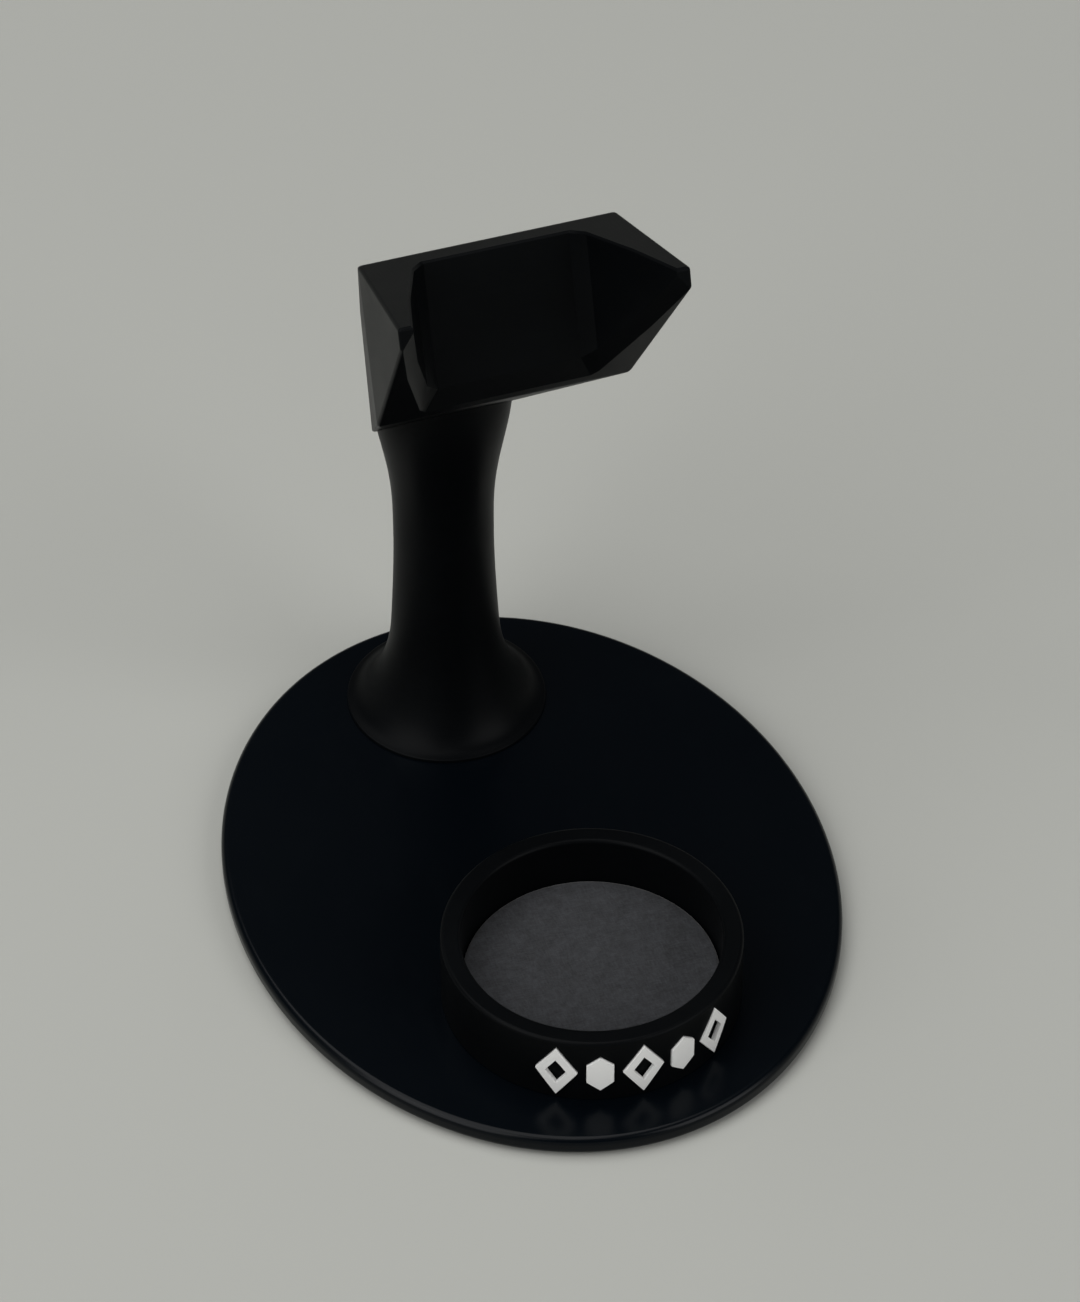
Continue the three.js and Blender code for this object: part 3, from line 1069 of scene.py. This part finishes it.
@dataclass
class FeltPad:
    """The felt disc on the cup's floor, a little uneven as felt is."""

    swell: float = 0.15 * MM  # how far the middle stands over the edge
    lump: float = 2.2 * MM  # size of the unevenness
    lump_height: float = 0.22 * MM
    lump_detail: int = 3
    lump_middle: float = 0.7  # level of the lumps at which the face stays where it is
    upper_share: float = 0.6  # of the height; lumps rise above it
    edge_steps: int = 6
    rings: int = 44  # from the edge to the middle
    steps: int = 200  # corners round the disc
    least_turn: float = 60  # from which an edge stays sharp
    room: Room = field(default_factory=lambda: Room.of("cup_pad"))

    def build(self) -> None:
        """Models the disc and dresses it."""
        pad = turned("felt_disc", self._outline(), upright(self.room.foot), self.steps)
        self._unsettle(pad)
        shade(pad, self.least_turn)
        dress(pad, Slot.FELT, "cup_pad")

    def _outline(self) -> Outline:
        """Outline of the disc: over its soft edge and in to the middle.

        Returns:
            Radius and height of each ring.
        """
        radius = self.room.size.x / 2
        height = self.room.size.z - self.swell
        edge = height / 2
        outline = [(radius - edge, 0), (radius - edge / 4, edge / 4)]
        outline += arc(radius - edge, height - edge, edge, 0, 90, self.edge_steps)
        last = outline[-1][0]
        for ring in range(1, self.rings):
            share = ring / self.rings
            outline.append((last * (1 - share), height + self.swell * math.sin(share * math.pi / 2)))
        return outline

    def _unsettle(self, pad: bpy.types.Object) -> None:
        """Raises soft lumps on the disc's upper side.

        Args:
            pad: The disc.
        """
        top = self.room.low.z + self.room.size.z * self.upper_share
        upper = pad.vertex_groups.new(name="upper")
        upper.add([v.index for v in pad.data.vertices if v.co.z > top], 1, "REPLACE")
        lumps = bpy.data.textures.new("felt_lumps", "CLOUDS")
        lumps.noise_scale = self.lump
        lumps.noise_depth = self.lump_detail
        modify(
            pad, "DISPLACE", texture=lumps, direction="Z", strength=self.lump_height,
            mid_level=self.lump_middle, vertex_group=upper.name,
        )


# Post and cradle

@dataclass(frozen=True)
class Claw:
    """Corners of the cradle's right half, in order round its side, read from the frame."""

    back: Vector  # upper rear corner
    tip: Vector  # upper corner of the tip
    tip_low: Vector  # lower corner of the tip
    jaw: Vector  # lower front corner
    heel: Vector  # lower rear corner
    shoulder: Vector  # upper corner of the rear face

    @classmethod
    def of_frame(cls) -> "Claw":
        """Finds each corner on the cradle's node, as the one that lies furthest in a direction.

        Returns:
            The corners.
        """
        towards = (
            (1, 0.4, 1), (1, -1, 1.6), (1, -3, -0.6), (1, -0.2, -0.3), (0.2, 1, -1.5), (0.2, 1, 0.3)
        )
        corners = [vertex.co.copy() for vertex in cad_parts["cradle"].data.vertices]
        return cls(*(max(corners, key=Vector(direction).dot) for direction in towards))

    @staticmethod
    def mirrored(corner: Vector) -> Vector:
        """The same corner on the other side."""
        return Vector((-corner.x, corner.y, corner.z))

    @property
    def round_side(self) -> list[Vector]:
        """All corners, in order."""
        return [self.back, self.tip, self.tip_low, self.jaw, self.heel, self.shoulder]

    @property
    def forward(self) -> Vector:
        """Direction of the arms."""
        return Vector((0, self.tip.y - self.back.y, self.tip.z - self.back.z)).normalized()

    @property
    def up(self) -> Vector:
        """Direction square to the top of the arms."""
        return Vector((0, self.forward.z, -self.forward.y))

    @property
    def arm(self) -> float:
        """Length of an arm's top."""
        return (self.tip - self.back).dot(self.forward)

    def point(self, across: float, forward: float, up: float) -> Vector:
        """A point given across, forward and up in the cradle's own directions."""
        return Vector((across, self.back.y, self.back.z)) + self.forward * forward + self.up * up

    def underside(self, forward: float) -> float:
        """How far up from the top the front underside lies.

        Args:
            forward: Distance forward from the upper rear corner.

        Returns:
            The height, below 0.
        """
        jaw = (self.jaw - self.back).dot(self.up)
        tip = (self.tip_low - self.back).dot(self.up)
        return jaw + (tip - jaw) * forward / self.arm


@dataclass
class Post:
    """The post: a trumpet foot, a slim waist, a wider cap cut to the mitre and a spigot."""

    shaft: float = 11.6 * MM  # radius of the waist
    foot: float = 23.5 * MM  # radius of the foot
    flare: float = 23 * MM  # height of the foot's flare
    flare_steps: int = 28
    lip: float = 0.8 * MM  # upright edge of the foot
    lip_edge: float = 0.25 * MM
    lip_edge_steps: int = 3
    waist: float = 50 * MM  # height from which the post slowly widens down to its foot
    waist_share: float = 0.24  # of the way to the foot's radius, which that widening goes
    waist_bend: float = 1.5  # how much faster it widens near the foot
    waist_steps: int = 12
    cap: float = 16.2 * MM  # radius of the cap
    cap_under: float = 20 * MM  # from the start of the cap's flare up to the heel
    cap_over: float = 22 * MM  # from the heel up to the flare's end
    cap_bend: float = 1.6  # how much later the cap widens than evenly to both sides
    cap_steps: int = 28
    cap_edge: float = 0.2 * MM
    cap_edge_steps: int = 3
    cap_edge_turn: float = 40
    mitre_gap: float = 0.03 * MM  # hairline left under the cradle
    mitre_snap: float = 0.1 * MM  # corners this close to the mitre are moved on to it
    spigot_edge: float = 1 * MM
    spigot_edge_steps: int = 4
    spigot_steps: int = 64
    steps: int = 192  # corners round the post
    room: Room = field(default_factory=lambda: Room.of("post"))
    claw: Claw = field(default_factory=Claw.of_frame)

    @property
    def heel(self) -> float:
        """Height of the cradle's heel over the plate."""
        return self.claw.heel.z - self.room.low.z

    def build(self) -> None:
        """Models the post, cut to the mitre and joined to its spigot, and dresses it."""
        foot, claw = self.room.foot, self.claw
        body = turned("flared_post", self._outline(), upright(foot), self.steps)
        mitre = Cut.through(foot, claw.jaw, claw.heel, claw.mirrored(claw.jaw))
        with editing(body):
            slice_off(Cut(mitre.point - mitre.outward * self.mitre_gap, mitre.outward), self.mitre_snap)
        break_edges(body, self.cap_edge, self.cap_edge_steps, self.cap_edge_turn)
        join(body, self._spigot(), Join.ADD)
        cut_pockets(body, numbered("post_insert", SCREWS), INSERT_STEPS)
        insert = Room.of("cradle_insert")
        end = Vector((0, insert.low.y - 2 * GAP, insert.centre.z))
        bore = insert.size.x / 2 + GAP
        tool = cylinder(bore, -insert.size.y - OVERRUN, 0, forward_from(end), INSERT_STEPS)
        join(body, tool, Join.CUT)
        shade(body)
        dress(body, Slot.PRINT, "post")

    def _outline(self) -> Outline:
        """Outline of the post's side, from its foot up over the mitre.

        Returns:
            Radius and height of each ring.
        """
        edge, end = self.lip_edge, self.lip + self.flare
        outline = [(self.foot, 0)]
        outline += arc(self.foot - edge, self.lip - edge, edge, 0, 60, self.lip_edge_steps)
        for i in range(1, self.flare_steps + 1):
            angle = math.pi / 2 * i / self.flare_steps
            height = self.lip + self.flare * (1 - math.cos(angle))
            share = 1 - math.sin(angle) * (1 - self._widening(height))
            outline.append((self.shaft + (self.foot - self.shaft) * share, height))
        for i in range(1, self.waist_steps + 1):
            height = end + (self.waist - end) * i / self.waist_steps
            outline.append((self.shaft + (self.foot - self.shaft) * self._widening(height), height))
        for i in range(self.cap_steps + 1):
            share = i / self.cap_steps
            height = self.heel - self.cap_under + (self.cap_under + self.cap_over) * share
            eased = (share * share * (3 - 2 * share)) ** self.cap_bend
            outline.append((self.shaft + (self.cap - self.shaft) * eased, height))
        outline.append((self.cap, self.claw.jaw.z - self.room.low.z))
        return outline

    def _widening(self, height: float) -> float:
        """Share of the way to the foot's radius that the post has at a height, apart from its flare."""
        return self.waist_share * max(1 - height / self.waist, 0) ** self.waist_bend

    def _spigot(self) -> bpy.types.Object:
        """The spigot, which reaches down into the post.

        Returns:
            The solid.
        """
        edge = self.spigot_edge
        outline = [(SPIGOT, self.heel - self.cap_under)]
        outline += arc(SPIGOT - edge, self.room.size.z - edge, edge, 0, 90, self.spigot_edge_steps)
        return turned("tool", outline, upright(self.room.foot), self.spigot_steps)


@dataclass
class Cradle:
    """The faceted cradle with its open slot."""

    edge: float = 0.8 * MM  # rounding of the outer edges
    edge_steps: int = 5
    edge_turn: float = 6
    least_turn: float = 20  # from which an edge stays sharp
    slot_edge: float = 0.45 * MM  # broken edge round the slot's top
    seat_wall: float = 5.5 * MM  # thickness behind the seat at the top
    slot_back: float = 32 * MM  # width of the slot at the seat
    slot_corner: float = 3 * MM  # cut across each rear corner
    slot_middle: float = 48.4 * MM  # width of the slot where its walls bend
    slot_middle_depth: float = 17.5 * MM  # from the seat forward to that place
    slot_mouth: float = 56.8 * MM  # width of the slot between the tips
    bevel_width: float = 2.6 * MM  # of the bevel on the underside
    bevel_depth: float = 3.4 * MM
    socket_steps: int = 64
    claw: Claw = field(default_factory=Claw.of_frame)

    def build(self) -> None:
        """Models the cradle and dresses it."""
        body = self._faceted()
        break_edges(body, self.edge, self.edge_steps, self.edge_turn)
        for upper, lower, grown in self._openings():
            join(body, self._prism(upper, lower, grown), Join.CUT)
        join(body, self._socket(), Join.CUT)
        join(body, CRADLE_FIXING.hole("cradle_screw"), Join.CUT)
        shade(body, self.least_turn)
        dress(body, Slot.PRINT, "cradle")

    def _faceted(self) -> bpy.types.Object:
        """The cradle before its slot: a block trimmed to its facets.

        Returns:
            The solid.
        """
        claw, corners = self.claw, self.claw.round_side
        inside = (claw.back + claw.heel) / 2
        inside.x = 0
        cuts = [
            Cut.through(inside, corner, following, claw.mirrored(corner))
            for corner, following in zip(corners, corners[1:] + corners[:1])
        ]
        for side in (Vector, claw.mirrored):
            back, tip, _, jaw, heel, shoulder = map(side, corners)
            cuts.append(Cut.through(inside, back, tip, jaw))
            cuts += self._flank(inside, back, jaw, heel, shoulder)
        return trimmed_block("faceted_cradle", inside, 8 * claw.back.x, cuts)

    @staticmethod
    def _flank(inside: Vector, back: Vector, jaw: Vector, heel: Vector, shoulder: Vector) -> list[Cut]:
        """The two flat faces between an arm's side and the heel, folded outwards.

        Args:
            inside: A point of the solid.
            back: Upper rear corner.
            jaw: Lower front corner.
            heel: Lower rear corner.
            shoulder: Upper corner of the rear face.

        Returns:
            The planes of the two faces.
        """
        along = [Cut.through(inside, back, jaw, heel), Cut.through(inside, back, heel, shoulder)]
        if along[0].outward.dot(shoulder - along[0].point) <= 0:
            return along
        return [Cut.through(inside, back, jaw, shoulder), Cut.through(inside, jaw, heel, shoulder)]

    def _socket(self) -> bpy.types.Object:
        """The tool that cuts the socket for the post's spigot.

        Returns:
            The tool.
        """
        post = Room.of("post")
        axis = upright(Vector((0, post.centre.y, 0)))
        low, high = self.claw.heel.z - OVERRUN, post.high.z + GAP
        return cylinder(SPIGOT + GAP, low, high, axis, self.socket_steps)

    def _walls(self) -> Outline:
        """The slot's outline, from the seat to past the tips.

        Returns:
            Half of the slot's width at each corner, with the distance forward.
        """
        back, middle, mouth = self.slot_back / 2, self.slot_middle / 2, self.slot_mouth / 2
        bend = self.seat_wall + self.slot_middle_depth
        widening = (mouth - middle) / (self.claw.arm - bend)
        return [
            (back, self.seat_wall),
            (back + self.slot_corner, self.seat_wall + self.slot_corner),
            (middle, bend),
            (mouth + widening * OVERRUN, self.claw.arm + OVERRUN),
        ]

    def _openings(self) -> list[tuple[Level, Level, float]]:
        """The slot, the broken edge round its top and the wider mouth on the front underside.

        Returns:
            The upper level, the lower level and the growth of the tool that cuts each.
        """
        edge, underside = self.slot_edge, self.claw.underside
        depth = underside(0) - OVERRUN
        mouth = self.bevel_width * (OVERRUN / self.bevel_depth + 1)
        return [
            (lambda forward: OVERRUN, lambda forward: depth, 0),
            (lambda forward: -edge, lambda forward: edge, 2 * edge),
            (
                lambda forward: underside(forward) + self.bevel_depth,
                lambda forward: underside(forward) - OVERRUN,
                mouth,
            ),
        ]

    def _prism(self, upper: Level, lower: Level, grown: float) -> bpy.types.Object:
        """A tool with the slot's outline at one level and a wider or equal one at another.

        Args:
            upper: Level of the slot's own outline, at a distance forward.
            lower: Level of the grown outline, at a distance forward.
            grown: How far the outline has grown there.

        Returns:
            The closed tool.
        """
        claw, end = self.claw, self.claw.arm + OVERRUN
        inside = claw.point(0, claw.arm / 2, (upper(claw.arm / 2) + lower(claw.arm / 2)) / 2)
        rings = []
        for half, forward in self._walls():
            shifted = forward - (grown if forward <= self.seat_wall else 0)
            rings.append(((half, forward, upper(forward)), (half + grown, shifted, lower(shifted))))
        planes = []
        for side in (1, -1):
            for (near, near_low), (far, _) in zip(rings, rings[1:]):
                corners = (near, near_low, far)
                planes.append([(side * across, forward, up) for across, forward, up in corners])
        (half, forward, up), (_, low_forward, low_up) = rings[0]
        planes.append([(half, forward, up), (-half, forward, up), (0, low_forward, low_up)])
        for level in (upper, lower):
            planes.append([(0, 0, level(0)), (half, 0, level(0)), (0, end, level(end))])
        cuts = [Cut.through(inside, *(claw.point(*corner) for corner in plane)) for plane in planes]
        cuts.append(Cut(claw.point(0, end, 0), claw.forward))
        return trimmed_block("tool", inside, 4 * claw.arm, cuts)


# Studio

@dataclass(frozen=True)
class Softbox:
    """A large, soft lamp."""

    name: str
    place: tuple[float, float, float]
    size: float  # length of its sides
    power: float  # in watts

    def hang(self, aim: Vector) -> None:
        """Adds the lamp and turns it to a point.

        Args:
            aim: The point.
        """
        bpy.ops.object.light_add(type="AREA", location=self.place)
        lamp = bpy.context.active_object
        lamp.name = self.name
        lamp.rotation_euler = (aim - Vector(self.place)).to_track_quat("-Z", "Y").to_euler()
        lamp.data.shape = "SQUARE"
        lamp.data.size = self.size
        lamp.data.energy = self.power


@dataclass
class Studio:
    """The floor, the light and the camera."""

    eye: Vector = field(default_factory=lambda: Vector((-0.2537, -0.7326, 0.775)))
    aim: Vector = field(default_factory=lambda: Vector((0.004, 0.004, 0.066)))
    lens: float = 132  # focal length in millimetres, for the sensor's height
    sensor: float = 36
    floor_colour: Colour = (0.46, 0.465, 0.435)
    cloud_share: float = 0.97  # brightness of the floor's darker clouds
    backdrop: Colour = (0.412, 0.417, 0.388)  # what the floor fades to far from the stand
    fade: tuple[float, float] = (0.6, 1.6)  # where the fade starts and ends, from the middle
    fill: float = 0.05  # brightness of the world
    sweep_steps: int = 128
    sweep: Sequence[tuple[float, float]] = (  # the floor and the low wall that it curves up to
        (3.2, 0), (3.6, 0.04), (3.9, 0.16), (4.1, 0.4), (4.2, 0.7), (4.2, 1.05)
    )
    softboxes: Sequence[Softbox] = (
        Softbox("softbox_above", (-0.5, 0.4, 2.7), 2.6, 47),
        Softbox("softbox_left", (-2.1, -0.8, 1.8), 2.2, 39),
        Softbox("softbox_right", (1.6, -1.9, 1.6), 2.0, 30),
    )

    def build(self) -> None:
        """Sets up the view, the floor, the world and the lamps."""
        bpy.context.scene.view_settings.view_transform = "Standard"
        self._camera()
        self._floor()
        self._world()
        for softbox in self.softboxes:
            softbox.hang(self.aim)

    def _camera(self) -> None:
        """Places the camera and makes it the scene's."""
        bpy.ops.object.camera_add(location=self.eye)
        camera = bpy.context.active_object
        camera.name = "camera"
        camera.rotation_euler = (self.aim - self.eye).to_track_quat("-Z", "Y").to_euler()
        camera.data.sensor_fit = "VERTICAL"
        camera.data.sensor_height = self.sensor
        camera.data.lens = self.lens
        bpy.context.scene.camera = camera

    def _floor(self) -> None:
        """Lays a plain pale floor that curves up to a low wall far away."""
        floor = turned("floor", list(self.sweep), Matrix(), self.sweep_steps)
        with editing(floor):
            bpy.ops.mesh.select_mode(type="FACE")
            bpy.ops.mesh.select_all(action="DESELECT")
            shape = bmesh.from_edit_mesh(floor.data)
            for face in shape.faces:
                face.select_set(face.calc_center_median().z > self.sweep[-1][1] - MM)
            bmesh.update_edit_mesh(floor.data)
            bpy.ops.mesh.delete(type="ONLY_FACE")
            turn_faces(inside=True)
        bpy.ops.object.shade_smooth()
        floor.data.materials.append(self._floor_material())

    def _floor_material(self) -> bpy.types.Material:
        """Pale paint that fades to an even backdrop, for the camera and in reflections alone.

        Returns:
            The material.
        """
        bench = ShaderBench(bpy.data.materials.new("floor_pale"))
        place = bench.place()
        darker = tuple(channel * self.cloud_share for channel in self.floor_colour)
        paint = bench.node("ShaderNodeBsdfPrincipled", {}, {
            "Base Color": bench.blend(bench.noise(place, 3, 3, 0.5), self.floor_colour, darker),
            "Roughness": 0.85,
            "Specular IOR Level": 0.1,
        })
        glow = bench.node("ShaderNodeEmission", {}, {"Color": (*self.backdrop, 1), "Strength": 1.0})
        distance = bench.node("ShaderNodeVectorMath", {"operation": "LENGTH"}, {0: place}, "Value")
        near, far = self.fade
        faded = bench.node(
            "ShaderNodeMapRange",
            {"interpolation_type": "SMOOTHSTEP"},
            {"Value": distance, "From Min": near, "From Max": far},
        )
        camera, glossy, through = (
            bench.node("ShaderNodeLightPath", output=f"Is {ray} Ray")
            for ray in ("Camera", "Glossy", "Transmission")
        )
        share = faded * (camera + glossy + through)
        mixed = bench.node("ShaderNodeMixShader", {}, {0: share, 1: paint, 2: glow})
        bench.node("ShaderNodeOutputMaterial", {}, {"Surface": mixed})
        return bench.owner

    def _world(self) -> None:
        """Dim even light from all sides."""
        world = bpy.data.worlds.new("studio")
        bpy.context.scene.world = world
        bench = ShaderBench(world)
        sky = bench.node("ShaderNodeBackground", {}, {"Color": (1, 1, 1, 1), "Strength": self.fill})
        bench.node("ShaderNodeOutputWorld", {}, {"Surface": sky})


def main() -> None:
    """Builds the studio and then the stand, piece by piece."""
    logging.basicConfig(level=logging.INFO, format="%(name)s: %(message)s")
    for part in (Studio(), BasePlate(), RubberFeet(), Cup(), FeltPad(), Post(), Cradle(), Fasteners()):
        part.build()


if __name__ == "__main__":
    main()
